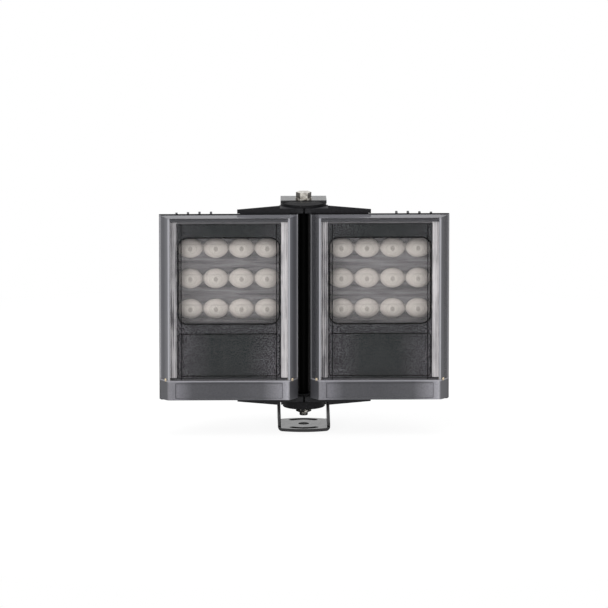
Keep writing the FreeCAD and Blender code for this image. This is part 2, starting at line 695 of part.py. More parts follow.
def housing(name, side):
    """Casting: flange, lamp room, heat-sink plate with fins, driver box and arm seats."""
    body = new_part(f"{name}_housing")
    x = lamp_middle(side)
    wide, tall = S.cover_width / 2 + S.flange_lip, arm_inner
    solid(body, "XZ", flange_face, flange_rear, rectangle, x - wide, x + wide, middle - tall,
          middle + tall)
    wall, high = wide - S.body_inset, tall - S.body_inset
    solid(body, "XZ", flange_face, plate_rear, rectangle, x - wall, x + wall, middle - high,
          middle + high)
    for place, shorter in fin_places():
        left = x + place - S.fin_thick / 2
        solid(body, "YZ", left, left + S.fin_thick, fin_outline,
              plate_rear + S.fin_depth - shorter)
    box, half_box = S.fin_pitch * 1.5 + S.fin_thick / 2, S.box_tall / 2
    solid(body, "XZ", plate_rear - 1, box_rear, rectangle, x - box, x + box, middle - half_box,
          middle + half_box)
    inner, outer = x - wall * side, x - S.fin_pitch * side
    seat = (inner, outer) if side > 0 else (outer, inner)
    for end in (1, -1):
        solid(body, "XY", *mirrored_heights(end, high - 1, arm_inner), rectangle, *seat,
              flange_face + 1, -S.arm_rear)
    room, room_high = wall - S.cavity_wall, high - S.cavity_wall
    cut(body, "XZ", flange_face - 1, room_floor, rectangle, x - room, x + room,
        middle - room_high, middle + room_high)
    hollow = box - S.box_wall
    cut(body, "XZ", plate_rear + S.box_wall, box_rear + 1, rectangle, x - hollow, x + hollow,
        middle - half_box + S.box_end, middle + half_box - S.box_end)
    cut(body, "XZ", flange_face - 1, flange_rear + 1, circles, cover_screw_spots(side),
        screw_radius)
    cut(body, "XZ", box_rear - S.screw_length, box_rear + 1, circles, box_screw_spots(side),
        screw_radius)
    sunk = arm_outer - S.arm_screw_sunk - S.arm_screw_length
    for end in (1, -1):
        cut(body, "XY", *mirrored_heights(end, sunk, arm_inner + 1), circles,
            arm_screw_spots(side), S.arm_screw / 2)


cover_seat = box_rear + S.gasket
cover_back = cover_seat + S.rear_cover


def gland_spot(side):
    return lamp_middle(side), middle - S.box_tall / 2 + S.gland_above


def box_screw_spots(side):
    x, out = lamp_middle(side), S.box_tall / 2 - S.box_end / 2
    return [(x + S.fin_pitch * turn, middle + out * end) for turn in (-1, 1) for end in (-1, 1)]


def arm_screw_spots(side):
    return [((S.arm_screw_first + S.arm_screw_pitch * step) * side, -S.arm_screw_front)
            for step in range(2)]


def fascia(name, side):
    """Black frame behind the clear front, with a round-cornered window and a sunk panel."""
    body = new_part(f"{name}_fascia")
    x, half = lamp_middle(side), S.fascia_width / 2
    low = middle - S.fascia_bottom
    solid(body, "XZ", fascia_front, fascia_rear, rectangle, x - half, x + half, low,
          middle + S.fascia_top, S.cover_wall)
    wide, tall = S.window_width / 2, S.window_tall / 2
    cut(body, "XZ", fascia_front - 1, fascia_rear + 1, rectangle, x - wide, x + wide,
        window_middle - tall, window_middle + tall, S.window_round)
    panel = S.panel_width / 2
    cut(body, "XZ", fascia_front - 1, fascia_front + S.panel_depth, rectangle, x - panel,
        x + panel, low + S.cover_wall, middle - S.panel_top, S.cover_wall)


def side_rails(name, side):
    """Pale rails beside the fascia, joined by a narrow strip above it."""
    body = new_part(f"{name}_side_rails")
    x, inner = lamp_middle(side), S.fascia_width / 2 + S.fascia_gap
    outer, under = inner + S.rail_width, middle + S.fascia_top + S.fascia_gap
    solid(body, "XZ", fascia_front, fascia_rear, outline, [
        (x - outer, middle - S.fascia_bottom), (x - inner, middle - S.fascia_bottom),
        (x - inner, under), (x + inner, under), (x + inner, middle - S.fascia_bottom),
        (x + outer, middle - S.fascia_bottom), (x + outer, under + S.rail_top),
        (x - outer, under + S.rail_top),
    ])


def lens_insert(name, side):
    body = new_part(f"{name}_lens_insert")
    x, wide = lamp_middle(side), S.window_width / 2 + S.insert_margin
    tall = S.window_tall / 2 + S.insert_margin
    solid(body, "XZ", fascia_rear, fascia_rear + S.insert_thick, rectangle, x - wide, x + wide,
          window_middle - tall, window_middle + tall, S.window_round)


def led_spots(side):
    x = lamp_middle(side)
    return [(x + S.led_pitch * (column - 1.5), window_middle + S.led_row * (row - 1))
            for column in range(4) for row in range(3)]


def squares(sketch, spots, size):
    for u, v in spots:
        rectangle(sketch, u - size / 2, u + size / 2, v - size / 2, v + size / 2)


def led_array(name, side):
    """Board on the heat-sink floor, twelve packages on it and a lens over each."""
    board = new_part(f"{name}_led_board")
    x, wide, tall = lamp_middle(side), S.led_board_width / 2, S.led_board_tall / 2
    solid(board, "XZ", board_front, room_floor, rectangle, x - wide, x + wide,
          window_middle - tall, window_middle + tall, S.gasket * 2)
    leds = new_part(f"{name}_leds")
    led_front = board_front - S.led_height
    solid(leds, "XZ", led_front, board_front, squares, led_spots(side), S.led_size)
    optic_rear = led_front
    domes = []
    for number, (u, v) in enumerate(led_spots(side)):
        dome = doc.addObject("Part::Ellipsoid", f"{name}_lens_{number}")
        for size, radius in (("Radius1", S.optic_tall / 2), ("Radius2", S.optic_width / 2),
                             ("Radius3", S.optic_depth)):
            dome.setExpression(size, radius.formula)
        slab = doc.addObject("Part::Box", f"{name}_lens_room_{number}")
        for size, length in (("Length", S.optic_width), ("Width", S.optic_depth),
                             ("Height", S.optic_tall)):
            slab.setExpression(size, length.formula)
        lens = doc.addObject("Part::Common", f"{name}_lens_form_{number}")
        lens.Base, lens.Tool = dome, slab
        for piece, place in ((dome, (u, optic_rear, v)),
                             (slab, (u - S.optic_width / 2, optic_rear - S.optic_depth,
                                     v - S.optic_tall / 2))):
            for axis, size in zip("xyz", place):
                piece.setExpression(f"Placement.Base.{axis}", size.formula)
        domes.append(lens)
    optics = doc.addObject("Part::Compound", f"{name}_led_optics")
    optics.Label = f"{name}_led_optics"
    optics.Links = domes
    doc.recompute()
    parts.append(optics)


def driver_parts(name, side):
    """Board in the driver box, and the gasket and cover that close the box from behind."""
    x, box = lamp_middle(side), S.fin_pitch * 1.5 + S.fin_thick / 2
    half_box, inner = S.box_tall / 2, box - S.box_wall
    board = new_part(f"{name}_driver_board")
    floor = plate_rear + S.box_wall
    tall = half_box - S.box_end - S.hole_play
    solid(board, "XZ", floor, floor + S.board, rectangle, x - inner + S.hole_play,
          x + inner - S.hole_play, middle - tall, middle + tall)
    gasket = new_part(f"{name}_rear_gasket")
    solid(gasket, "XZ", box_rear, box_rear + S.gasket, rectangle, x - box, x + box,
          middle - half_box, middle + half_box)
    cut(gasket, "XZ", box_rear - 1, box_rear + S.gasket + 1, rectangle, x - inner, x + inner,
        middle - half_box + S.box_end, middle + half_box - S.box_end)
    cover = new_part(f"{name}_rear_cover")
    solid(cover, "XZ", cover_seat, cover_back, rectangle, x - box, x + box, middle - half_box,
          middle + half_box, S.box_wall)
    cut(cover, "XZ", cover_seat - 1, cover_back + 1, circles, [gland_spot(side)],
        S.gland_hole / 2)
    for body, near, far in ((gasket, box_rear, cover_seat), (cover, cover_seat, cover_back)):
        cut(body, "XZ", near - 1, far + 1, circles, box_screw_spots(side), screw_radius)
    screws = new_part(f"{name}_rear_cover_screws")
    small_screws(screws, box_screw_spots(side), cover_back, cover_seat - S.screw_length)


def small_screws(body, spots, seat, tip):
    """Pan-head screws put in from behind, heads on the seat."""
    solid(body, "XZ", tip, seat + 1, circles, spots, screw_radius)
    solid(body, "XZ", seat, seat + S.screw_head_height, circles, spots, S.screw_head / 2)
    face = seat + S.screw_head_height
    cut(body, "XZ", face - S.screw_head_height / 2, face, hexagons, spots, screw_radius,
        flipped=True)


def lamp_screws(name, side):
    screws = new_part(f"{name}_cover_screws")
    small_screws(screws, cover_screw_spots(side), flange_rear, screw_tip)
    arm_screws = new_part(f"{name}_arm_screws")
    spots = arm_screw_spots(side)
    sunk = arm_outer - S.arm_screw_sunk
    head = (S.arm_screw_head - S.arm_screw) / 2
    for end in (1, -1):
        solid(arm_screws, "XY", *mirrored_heights(end, sunk - S.arm_screw_length, sunk), circles,
              spots, S.arm_screw / 2)
        solid(arm_screws, "XY", *mirrored_heights(end, sunk - head, sunk), circles, spots,
              S.arm_screw_head / 2)


def cable_gland(name, side):
    """Gland in the rear cover: threaded body with a hexagon, and its cap nut."""
    spot, hex_rear = [gland_spot(side)], cover_back + S.gland_hex
    body = new_part(f"{name}_gland_body")
    solid(body, "XZ", cover_back, hex_rear, hexagon_ring, spot, S.gland_flats, S.cord_hole / 2)
    solid(body, "XZ", cover_seat, cover_back + 1, rings, spot, S.gland_hole / 2,
          S.cord_hole / 2)
    cap = new_part(f"{name}_gland_nut")
    solid(cap, "XZ", hex_rear, hex_rear + S.gland_cap, rings, spot, S.gland_flats / 2,
          S.cord_hole / 2)


def arm_slope(sketch, side, end, drop):
    """Waste above an arm's outer face, which falls from the step to the tip."""
    step, far = S.arm_step * side, (S.arm_reach + 1) * side
    crest = arm_inner + S.arm_crest
    outline(sketch, [
        (step, middle + (crest - drop) * end),
        (far, middle + (arm_inner + S.arm_tip_thick - drop) * end),
        (far, middle + (crest + 1) * end), (step, middle + (crest + 1) * end),
    ])


def hinge_arm(name, side, end):
    """Wing on the lamp's end that reaches to the hinge; left ears lie under right ones. Its
    outer face steps up beside the hinge cap, and falls from there to the tip and the rear."""
    body = new_part(f"{name}_{'top' if end > 0 else 'bottom'}_arm")
    tip, rear, crest = S.arm_reach * side, -S.arm_rear, arm_inner + S.arm_crest
    step = S.arm_step * side
    tail = [(tip, -S.arm_front), (tip, S.arm_tip_depth - S.arm_front),
            (S.arm_shoulder * side, rear)]
    solid(body, "XY", *mirrored_heights(end, arm_inner, crest), outline,
          [(step, -S.arm_front), *tail, (step, rear)])
    loft(body, "Subtractive", (rear, side, end, S.arm_fall), (-S.arm_front, side, end, measure(0)),
         arm_slope)
    slit = S.arm_slit * side
    solid(body, "XY", *mirrored_heights(end, arm_inner, arm_outer), outline,
          [(slit, -S.arm_front), (step, -S.arm_front), (step, rear), (slit, rear)])
    over = mirrored_heights(end, arm_inner - 1, crest + 1)
    cut(body, "XY", *over, circle, 0, 0, S.ear_radius + S.ear_gap)
    level = arm_inner if side < 0 else arm_outer - S.ear_thick
    ear = mirrored_heights(end, level, level + S.ear_thick)
    solid(body, "XY", *ear, circle, 0, 0, S.ear_radius)
    tongue = [(0, -S.ear_radius + 1), ((S.ear_radius + S.ear_gap * 2) * side,
                                       -S.ear_radius + 1),
              ((S.ear_radius + S.ear_gap * 2) * side, rear), (0, rear)]
    solid(body, "XY", *ear, outline, tongue)
    cut(body, "XY", *over, circle, 0, 0, bolt_radius + S.running_fit)
    cut(body, "XY", *over, circles, arm_screw_spots(side), S.arm_screw / 2)
    sunk = arm_outer - S.arm_screw_sunk
    head = (S.arm_screw_head - S.arm_screw) / 2
    cut(body, "XY", *mirrored_heights(end, sunk - head, crest + 1), circles,
        arm_screw_spots(side), S.arm_screw_head / 2)


def tray_screws(name, side):
    """Two brass screws at the seam, one in each side bevel."""
    body = new_part(f"{name}_tray_screws")
    slope = S.side_bevel / S.cover_depth
    x = lamp_middle(side)
    tip = S.cover_width / 2 - S.side_bevel + slope * (S.tray_screw_back + screw_radius)
    for turn in (-1, 1):
        outer, inner = tip * turn, (tip - S.tray_screw_length) * turn
        ends = (inner, outer) if turn > 0 else (outer, inner)
        solid(body, "YZ", x + ends[0], x + ends[1], circles, [tray_screw_spot], screw_radius)


def lamp(name, side):
    housing(name, side)
    cover_gasket(name, side)
    front_cover(name, side)
    lens_tray(name, side)
    tray_screws(name, side)
    fascia(name, side)
    side_rails(name, side)
    lens_insert(name, side)
    led_array(name, side)
    driver_parts(name, side)
    lamp_screws(name, side)
    cable_gland(name, side)
    for end in (1, -1):
        hinge_arm(name, side, end)


u_bracket()
tilt_fasteners()
hinge_frame()
hinge_cap("top_hinge_cap", 1)
hinge_cap("bottom_hinge_cap", -1)
hinge_bolt_set()
lamp("left", -1)
lamp("right", 1)

doc.recompute()
for item in doc.Objects:
    if "Invalid" in item.State or "Error" in item.State:
        raise RuntimeError(f"{item.Label} failed")
os.makedirs("parts", exist_ok=True)
for part in parts:
    if part.Shape.isNull() or not part.Shape.isValid():
        raise RuntimeError(f"{part.Label} is not a valid solid")
for part in parts:
    part.Shape.exportStep(f"parts/{part.Label}.step")
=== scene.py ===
"""Twin infrared illuminator on its U bracket, dressed for a plain white studio."""
import math

import bpy
import numpy as np
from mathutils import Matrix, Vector


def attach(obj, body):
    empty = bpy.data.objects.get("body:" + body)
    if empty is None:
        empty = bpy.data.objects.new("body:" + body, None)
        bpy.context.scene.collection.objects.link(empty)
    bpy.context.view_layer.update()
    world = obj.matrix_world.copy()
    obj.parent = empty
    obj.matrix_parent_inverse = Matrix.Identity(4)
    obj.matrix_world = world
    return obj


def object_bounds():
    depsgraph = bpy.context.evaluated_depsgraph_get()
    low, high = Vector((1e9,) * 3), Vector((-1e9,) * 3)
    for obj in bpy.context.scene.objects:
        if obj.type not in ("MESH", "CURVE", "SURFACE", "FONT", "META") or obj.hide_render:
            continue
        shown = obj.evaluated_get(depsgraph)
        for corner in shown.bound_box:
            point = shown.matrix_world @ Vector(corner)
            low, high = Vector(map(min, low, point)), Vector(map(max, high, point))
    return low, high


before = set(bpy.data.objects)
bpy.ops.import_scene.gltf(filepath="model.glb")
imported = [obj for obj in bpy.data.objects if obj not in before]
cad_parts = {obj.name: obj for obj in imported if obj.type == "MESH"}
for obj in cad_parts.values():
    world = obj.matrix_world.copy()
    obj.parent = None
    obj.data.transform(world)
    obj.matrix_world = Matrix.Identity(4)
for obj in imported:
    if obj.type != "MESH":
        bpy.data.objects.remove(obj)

MM = 0.001
cad_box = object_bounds()
scene = bpy.context.scene

# Camera: a long lens eight metres away, a little left of the middle and above the lamps. The
# middle of the lamps' front plane shows that many pixels right of and below the picture's middle.
FRONT_MIDDLE = Vector((0.0, -0.040, 0.1251))
PICTURE, PIXELS_PER_MM = 608, 1.03
PIXELS_RIGHT, PIXELS_BELOW = 0.5, 5.3
ELEVATION, TURN = math.radians(11.5), math.radians(1.2)
DISTANCE, SENSOR = 8.0, 36.0

# Places on a lamp in mm: heights above the bracket's underside, widths from the lamp's own
# upright middle plane.
LAMP_X = 73.4                           # that plane, each side of the hinge bolt
COVER_HALF = 67.6                       # half the front cover, with its slanted sides
FACE_HALF, FACE_LOW, FACE_TOP = 57.1, 55.0, 215.0     # the cover's flat face
BAND_LOW = 210.8                        # clear band between the fascia and the face's top
FASCIA_TOP, PANEL_TOP = 209.0, 100.3    # the black fascia, and the plain panel low on it
TRAY_TOP = 53.4                         # seam between the cover and the tray under it
RIB = 46.0                              # upright ribs moulded in the cover
RAIL = 50.6                             # inner edge of the pale side rails
WINDOW_Z = 152.8                        # middle of the window and of its middle row of lenses
COLUMN_PITCH, ROW_PITCH = 24.9, 30.0
LENS_HALF_WIDTH, LENS_HALF_HEIGHT = 12.15, 9.8


def place_camera():
    """Aims beside the lamps' front plane, so that its middle falls on its own pixel."""
    towards = Vector((-math.sin(TURN) * math.cos(ELEVATION),
                      -math.cos(TURN) * math.cos(ELEVATION), math.sin(ELEVATION)))
    turned = towards.to_track_quat("Z", "Y")
    right, up = turned @ Vector((1, 0, 0)), turned @ Vector((0, 1, 0))
    pixel = MM / PIXELS_PER_MM
    aim = FRONT_MIDDLE - right * (PIXELS_RIGHT * pixel) + up * (PIXELS_BELOW * pixel)
    lens = bpy.data.cameras.new("camera")
    lens.sensor_width = SENSOR
    lens.lens = SENSOR * DISTANCE / (PICTURE * pixel)
    lens.clip_end = 5 * DISTANCE
    camera = bpy.data.objects.new("camera", lens)
    camera.location = aim + towards * DISTANCE
    camera.rotation_euler = turned.to_euler()
    scene.collection.objects.link(camera)
    scene.camera = camera


def linear(code):
    """sRGB hex to linear: (c / 12.92) below 0.04045, else ((c + 0.055) / 1.055) ^ 2.4."""
    parts = np.array([int(code[at:at + 2], 16) for at in (1, 3, 5)]) / 255
    parts = np.where(parts <= 0.04045, parts / 12.92, ((parts + 0.055) / 1.055) ** 2.4)
    return (*parts.tolist(), 1.0)


def add(tree, kind, sockets=None, **settings):
    """One node with its settings; each socket gets a value, or a link from another socket."""
    node = tree.nodes.new("ShaderNode" + kind)
    for name, value in settings.items():
        setattr(node, name, value)
    for name, value in (sockets or {}).items():
        if isinstance(value, bpy.types.NodeSocket):
            tree.links.new(value, node.inputs[name])
        else:
            node.inputs[name].default_value = value
    return node


def begin(name):
    """An empty material, its node tree and the object's own coordinates in metres."""
    made = bpy.data.materials.new(name)
    made.use_nodes = True
    made.node_tree.nodes.clear()
    return made, made.node_tree, add(made.node_tree, "TexCoord").outputs["Object"]


def close(made, skin):
    """The material again, with that shader on its surface."""
    add(made.node_tree, "OutputMaterial", {"Surface": skin.outputs[0]})
    return made


def grains(tree, coords, size, depth, detail=2.0):
    """Grains of that size in mm: their height as a share 0..1, and the normal of a surface on
    which they stand up by that depth in mm."""
    height = add(tree, "TexNoise", {"Vector": coords, "Scale": 1 / (size * MM), "Detail": detail,
                                    "Roughness": 0.55}).outputs["Fac"]
    bump = add(tree, "Bump", {"Height": height, "Distance": depth * MM, "Strength": 1.0})
    return height, bump.outputs["Normal"]


def span(tree, grain, low, high):
    """A number that runs from low to high as the grains go from their valleys to their tops."""
    return add(tree, "MapRange", {"Value": grain, "From Min": 0.3, "From Max": 0.7,
                                  "To Min": low, "To Max": high}).outputs["Result"]


def between(tree, share, low, high, dark, light):
    """A colour that runs from dark to light while a share runs from low to high."""
    ramp = add(tree, "ValToRGB", {"Fac": share})
    for stop, place, code in zip(ramp.color_ramp.elements, (low, high), (dark, light)):
        stop.position, stop.color = place, linear(code)
    return ramp.outputs["Color"]


def stops(tree, value, low, high, colours):
    """A colour from a value that runs from low to high, through (share, hex) pairs."""
    share = add(tree, "MapRange", {"Value": value, "From Min": low, "From Max": high})
    ramp = add(tree, "ValToRGB", {"Fac": share.outputs["Result"]})
    places = ramp.color_ramp.elements
    for end, (at, code) in ((0, colours[0]), (1, colours[-1])):
        places[end].position, places[end].color = at, linear(code)
    for at, code in colours[1:-1]:
        places.new(at).color = linear(code)
    return ramp.outputs["Color"]


def on_lamp(tree, coords):
    """A point's place on its lamp: how far right of the lamp's middle plane it lies, which is x
    less LAMP_X times the sign of x; how far to either side of it; and its height."""
    place = add(tree, "SeparateXYZ", {0: coords}).outputs
    sign = add(tree, "Math", {0: place["X"]}, operation="SIGN").outputs[0]
    across = add(tree, "Math", {0: sign, 1: -LAMP_X * MM, 2: place["X"]},
                 operation="MULTIPLY_ADD").outputs[0]
    side = add(tree, "Math", {0: across}, operation="ABSOLUTE").outputs[0]
    return across, side, place["Z"]


def within(tree, *edges):
    """Share 0..1 of a patch with soft edges, the product of its edges. Each edge is a length and
    the two places in mm between which the patch fades in, from outside to inside."""
    share = 1.0
    for length, outside, inside in edges:
        edge = add(tree, "MapRange", {"Value": length, "From Min": outside * MM,
                                      "From Max": inside * MM}).outputs["Result"]
        share = add(tree, "Math", {0: share, 1: edge}, operation="MULTIPLY").outputs[0]
    return share


def laid_over(tree, *patches):
    """Share 0..1 of patches over each other: the greatest of their shares times weights."""
    total = 0.0
    for share, weight in patches:
        weighed = add(tree, "Math", {0: share, 1: weight}, operation="MULTIPLY").outputs[0]
        total = add(tree, "Math", {0: total, 1: weighed}, operation="MAXIMUM").outputs[0]
    return total


def from_nearest_led(tree, value, middle, pitch):
    """How far a length lies from the nearest LED of a row with that middle and pitch in mm."""
    local = add(tree, "Math", {0: value, 1: middle * MM}, operation="SUBTRACT").outputs[0]
    return add(tree, "Math", {0: local, 1: pitch * MM / 2, 2: -pitch * MM / 2},
               operation="WRAP").outputs[0]


def textured_powder_coat():
    """Polyester powder coat on die-cast aluminium: fine pimples that break up the gloss.
    Real grit is about 0.3 mm; it is drawn at 1.1 mm so that it shows at this picture's size."""
    made, tree, coords = begin("textured_powder_coat")
    fine, normal = grains(tree, coords, 1.1, 0.05)
    cloud, _ = grains(tree, coords, 22, 0.0)
    return close(made, add(tree, "BsdfPrincipled", {
        "Base Color": between(tree, fine, 0.35, 0.68, "#121214", "#222225"),
        "Roughness": span(tree, cloud, 0.52, 0.62), "Specular IOR Level": 0.22,
        "Normal": normal}))


def gloss_powder_coat():
    """Smooth black powder coat on folded steel: a mirror-like skin with long orange peel."""
    made, tree, coords = begin("gloss_powder_coat")
    peel, normal = grains(tree, coords, 5.0, 0.02, 1.0)
    dust, _ = grains(tree, coords, 1.6, 0.0)
    return close(made, add(tree, "BsdfPrincipled", {
        "Base Color": between(tree, dust, 0.4, 0.75, "#08080a", "#101012"),
        "Roughness": span(tree, peel, 0.16, 0.24), "Normal": normal}))


def stainless_steel(name, flanks=0.0):
    """A2 stainless bolt: cold formed, so slightly dull, with faint turned rings along Z. The
    flanks that look left and right are darkened by a share of painted shade, standing for dark
    reflections on them."""
    made, tree, coords = begin(name)
    stretched = add(tree, "Mapping", {"Vector": coords, "Scale": (0.25, 0.25, 3.0)}).outputs[0]
    rings, normal = grains(tree, stretched, 1.4, 0.03)
    stain, _ = grains(tree, coords, 3.2, 0.0, 4.0)
    tone = between(tree, stain, 0.38, 0.62, "#8d8780" if flanks else "#6f6961", "#d6d2ca")
    # Painted shade: faces whose normals look left or right get a dark colour mixed in.
    looks = add(tree, "SeparateXYZ", {0: add(tree, "TexCoord").outputs["Normal"]}).outputs["X"]
    sideways = add(tree, "Math", {0: looks}, operation="ABSOLUTE").outputs[0]
    flank_shade = add(tree, "MapRange", {"Value": sideways, "From Min": 0.3, "From Max": 0.75,
                                   "To Max": flanks}).outputs["Result"]
    return close(made, add(tree, "BsdfPrincipled", {
        "Base Color": add(tree, "MixRGB", {0: flank_shade, 1: tone, 2: linear("#2e2a27")}).outputs[0],
        "Metallic": 1.0, "Roughness": span(tree, rings, 0.22, 0.38), "Normal": normal}))


def blackened_steel():
    """Blackened steel nut and thread, bright in spots: partly worn where a spanner gripped,
    partly painted glints.
    """
    made, tree, coords = begin("blackened_steel")
    wear_and_glints, normal = grains(tree, coords, 2.6, 0.02)
    # The bright spots are partly wear and partly painted highlights, glints drawn into the
    # colour.
    return close(made, add(tree, "BsdfPrincipled", {
        "Base Color": between(tree, wear_and_glints, 0.52, 0.64, "#1c1b1a", "#c9c5bd"), "Metallic": 0.85,
        "Roughness": 0.3, "Normal": normal}))


def black_nylon(name, low, high, size, gloss=0.2):
    """Moulded polyamide: a spark-eroded mould leaves a soft satin grain. The real grain of
    about 0.1 mm is drawn coarser here, and on the tray and the fascia, so that it shows."""
    made, tree, coords = begin(name)
    grain, normal = grains(tree, coords, size, 0.03)
    return close(made, add(tree, "BsdfPrincipled", {
        "Base Color": between(tree, grain, 0.35, 0.7, low, high),
        "Roughness": span(tree, grain, 0.45, 0.58), "Specular IOR Level": gloss,
        "Normal": normal}))


def smoked_polycarbonate():
    """Smoked clear polycarbonate, injection moulded: it mirrors at its outer faces, more at a
    glancing view, darkens what lies behind and has a faint haze in its thickness. The sides
    are eroded in the mould, so they are more than half milky, with painted light in their tone;
    the flat face's edges get painted highlights, pale lines of haze, and a moulded rib each
    side of the middle shows as a dark upright line."""
    made, tree, coords = begin("smoked_polycarbonate")
    across, side, height = on_lamp(tree, coords)
    _, normal = grains(tree, coords, 30, 0.02, 1.0)
    glance = add(tree, "Fresnel", {"IOR": 1.22, "Normal": normal}).outputs[0]
    inner_face = add(tree, "NewGeometry").outputs["Backfacing"]
    outer_face = add(tree, "Math", {0: 1.0, 1: inner_face}, operation="SUBTRACT").outputs[0]
    mirror = add(tree, "Math", {0: glance, 1: outer_face}, operation="MULTIPLY").outputs[0]

    rib = within(tree, (side, RIB - 0.3, RIB), (side, RIB + 0.9, RIB + 0.6),
                 (height, FASCIA_TOP + 0.2, FASCIA_TOP - 0.2))
    smoke = between(tree, rib, 0.0, 1.0, "#fbfaf9", "#b3b2b3")
    clear = add(tree, "BsdfTransparent", {"Color": smoke})

    looks = add(tree, "SeparateXYZ", {0: add(tree, "TexCoord").outputs["Normal"]}).outputs["Y"]
    forwards = add(tree, "Math", {0: looks}, operation="ABSOLUTE").outputs[0]
    slanted = add(tree, "MapRange", {"Value": forwards, "From Min": 0.8, "From Max": 0.95,
                                     "To Min": 1.0, "To Max": 0.0}).outputs[0]
    # Painted highlights: pale haze along the flat face's sides, top and lower edge, where the
    # edges catch light.
    edge = within(tree, (side, FACE_HALF, FACE_HALF + 0.4), (height, FACE_TOP, FACE_TOP - 0.4))
    rim = laid_over(tree, (edge, 1.0), (within(tree, (height, FACE_TOP - 0.7, FACE_TOP)), 1.0),
                    (within(tree, (height, FACE_LOW + 0.4, FACE_LOW)), 1.0))
    edge_highlight_haze = add(tree, "MapRange", {
        "Value": side, "From Min": (FACE_HALF - 0.1) * MM, "From Max": FACE_HALF * MM,
        "To Min": 0.5, "To Max": 0.85}).outputs["Result"]
    band = within(tree, (height, BAND_LOW, BAND_LOW + 0.5))
    milky = laid_over(tree, (rim, edge_highlight_haze), (slanted, 0.8), (band, 0.3))
    milky = add(tree, "Math", {0: milky, 1: 0.01}, operation="ADD").outputs[0]

    # Painted light and shade: the slanted sides' haze is paler near both their edges, as painted
    # highlights, and darker between.
    tone = stops(tree, side, (FACE_HALF - 0.1) * MM, COVER_HALF * MM, (
        (0.0, "#626266"), (0.02, "#85858a"), (0.19, "#a2a2a7"), (0.23, "#707074"),
        (0.34, "#626266"), (0.62, "#4e4e52"), (0.83, "#59595d"), (0.9, "#98989c"),
        (0.95, "#8e8e92"), (1.0, "#505052")))
    above = within(tree, (height, FACE_TOP - 0.2, FACE_TOP + 0.1), (side, 61, 60))
    tone = add(tree, "MixRGB", {0: above, 1: tone, 2: linear("#626266")}).outputs[0]
    # Painted light: the left lamp's sides are painted lighter than the right one's, and on each
    # lamp the right side is painted lighter than the left one.
    x = add(tree, "SeparateXYZ", {0: coords}).outputs["X"]
    lamp = add(tree, "MapRange", {"Value": x, "From Min": -MM, "From Max": MM,
                                  "To Min": 1.0, "To Max": 0.6}).outputs["Result"]
    flank = add(tree, "MapRange", {"Value": across, "From Min": -MM, "From Max": MM,
                                   "To Min": 0.9, "To Max": 1.2}).outputs["Result"]
    light = add(tree, "Math", {0: lamp, 1: flank}, operation="MULTIPLY").outputs[0]
    tone = add(tree, "MixRGB", {0: within(tree, (side, 59.2, 59.6)), 1: tone, 2: light},
               blend_type="MULTIPLY").outputs[0]
    haze = add(tree, "BsdfDiffuse", {"Color": tone})
    body = add(tree, "MixShader", {0: milky, 1: clear.outputs[0], 2: haze.outputs[0]})
    shine = add(tree, "BsdfGlossy", {"Color": linear("#ffffff"), "Roughness": 0.12,
                                     "Normal": normal})
    return close(made, add(tree, "MixShader", {0: mirror, 1: body.outputs[0],
                                               2: shine.outputs[0]}))


def tray_moulding():
    """Smoked polycarbonate with an eroded face: dark where the black backing lies behind it,
    paler at both ends where it is clear through, with a painted highlight along its upper edge."""
    made, tree, coords = begin("eroded_polycarbonate")
    across, _, height = on_lamp(tree, coords)
    grain, normal = grains(tree, coords, 1.2, 0.03)
    tone = stops(tree, across, -COVER_HALF * MM, COVER_HALF * MM, (
        (0.0, "#3a3a3e"), (0.055, "#3f3f43"), (0.065, "#77767b"), (0.14, "#6b6a70"),
        (0.24, "#47474b"), (0.5, "#434347"), (0.74, "#4c4c50"), (0.88, "#807f85"),
        (0.925, "#9a999f"), (0.94, "#4a4a4e"), (1.0, "#3e3e42")))
    # Painted highlight: a pale line along the upper edge, at the seam under the cover.
    edge = laid_over(tree, (within(tree, (height, TRAY_TOP - 0.5, TRAY_TOP)), 0.55))
    tone = add(tree, "MixRGB", {0: edge, 1: tone, 2: linear("#a3a2a8")}).outputs[0]
    mottle = between(tree, grain, 0.3, 0.7, "#e2e2e2", "#ffffff")
    return close(made, add(tree, "BsdfPrincipled", {
        "Base Color": add(tree, "MixRGB", {0: 1.0, 1: tone, 2: mottle},
                          blend_type="MULTIPLY").outputs[0],
        "Roughness": span(tree, grain, 0.34, 0.44), "Specular IOR Level": 0.35,
        "Normal": normal}))


def turned_brass():
    """Free-cutting brass, turned: warm metal, slightly tarnished in its slots."""
    made, tree, coords = begin("turned_brass")
    stain, normal = grains(tree, coords, 0.9, 0.02)
    return close(made, add(tree, "BsdfPrincipled", {
        "Base Color": between(tree, stain, 0.3, 0.7, "#93846c", "#d3c5ac"),
        "Metallic": 1.0, "Roughness": span(tree, stain, 0.25, 0.4), "Normal": normal}))


def fascia_moulding():
    """Black ABS behind the clear front: an eroded grain that catches light as specks, most of
    all at both ends of the low panel and on the bar between it and the window."""
    made, tree, coords = begin("black_abs")
    _, side, height = on_lamp(tree, coords)
    grain, normal = grains(tree, coords, 1.3, 0.02, 1.0)
    cloud, _ = grains(tree, coords, 20.0, 0.0, 0.0)
    middle = between(tree, grain, 0.4, 0.62, "#121517", "#373b3d")
    ends = between(tree, grain, 0.42, 0.6, "#25252a", "#5f5e64")
    downwards = add(tree, "MapRange", {"Value": height, "From Min": 120 * MM,
                                       "From Max": 100 * MM, "To Min": 0.35}).outputs["Result"]
    low = add(tree, "Math", {0: within(tree, (side, 18, RIB)), 1: downwards},
              operation="MULTIPLY").outputs[0]
    bar = within(tree, (height, PANEL_TOP - 0.4, PANEL_TOP), (height, 140, 139))
    lit = laid_over(tree, (low, span(tree, cloud, 0.7, 1.1)), (bar, 0.4))
    return close(made, add(tree, "BsdfPrincipled", {
        "Base Color": add(tree, "MixRGB", {0: lit, 1: middle, 2: ends}).outputs[0],
        "Roughness": 0.6, "Specular IOR Level": 0.12, "Normal": normal}))


